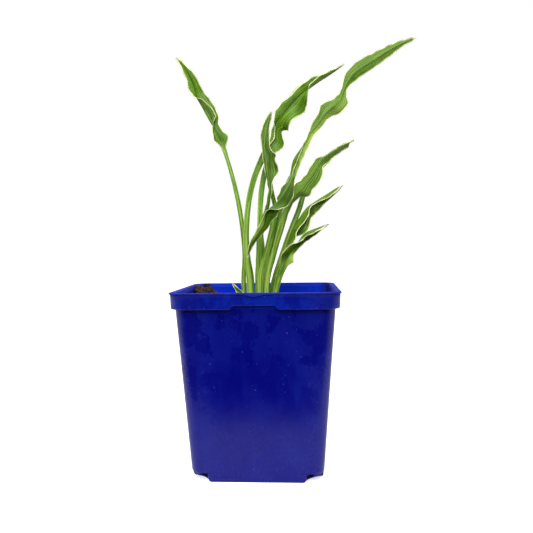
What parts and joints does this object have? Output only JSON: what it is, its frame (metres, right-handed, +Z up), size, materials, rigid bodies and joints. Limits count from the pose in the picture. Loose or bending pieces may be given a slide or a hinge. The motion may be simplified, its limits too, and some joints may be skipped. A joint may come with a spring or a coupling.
{
  "type": "potted hosta",
  "caption": "Young hosta with narrow, waved, cream-edged leaves on long petioles, rooted in potting soil in a square tapered nursery pot with a hanging rim.",
  "frame": {"origin": "middle of the pot's underside, in the plane that it stands on", "axes": "+Z up through the middle of the pot, -Y towards the front, which is one of the pot's four like sides, +X towards the tallest leaf's tip"},
  "size_m": [0.1862, 0.116, 0.3175],
  "materials": {
    "pot_plastic": "satin",
    "soil": "matte",
    "crown_flesh": "matte",
    "leaf": "satin"
  },
  "bodies": {
    "root": {"pot": "pot_plastic", "potting_soil": "soil", "crown_and_roots": "crown_flesh", "leaf_far_left": "leaf", "leaf_high_centre": "leaf", "leaf_back_centre": "leaf", "leaf_upright_centre": "leaf", "leaf_drooping_front": "leaf", "leaf_tallest_right": "leaf", "leaf_middle_right": "leaf", "leaf_back_right": "leaf", "leaf_lower_right": "leaf", "leaf_lowest_right": "leaf", "leaf_young_centre": "leaf", "sheath_leaf_left": "leaf"}
  },
  "joints": []
}
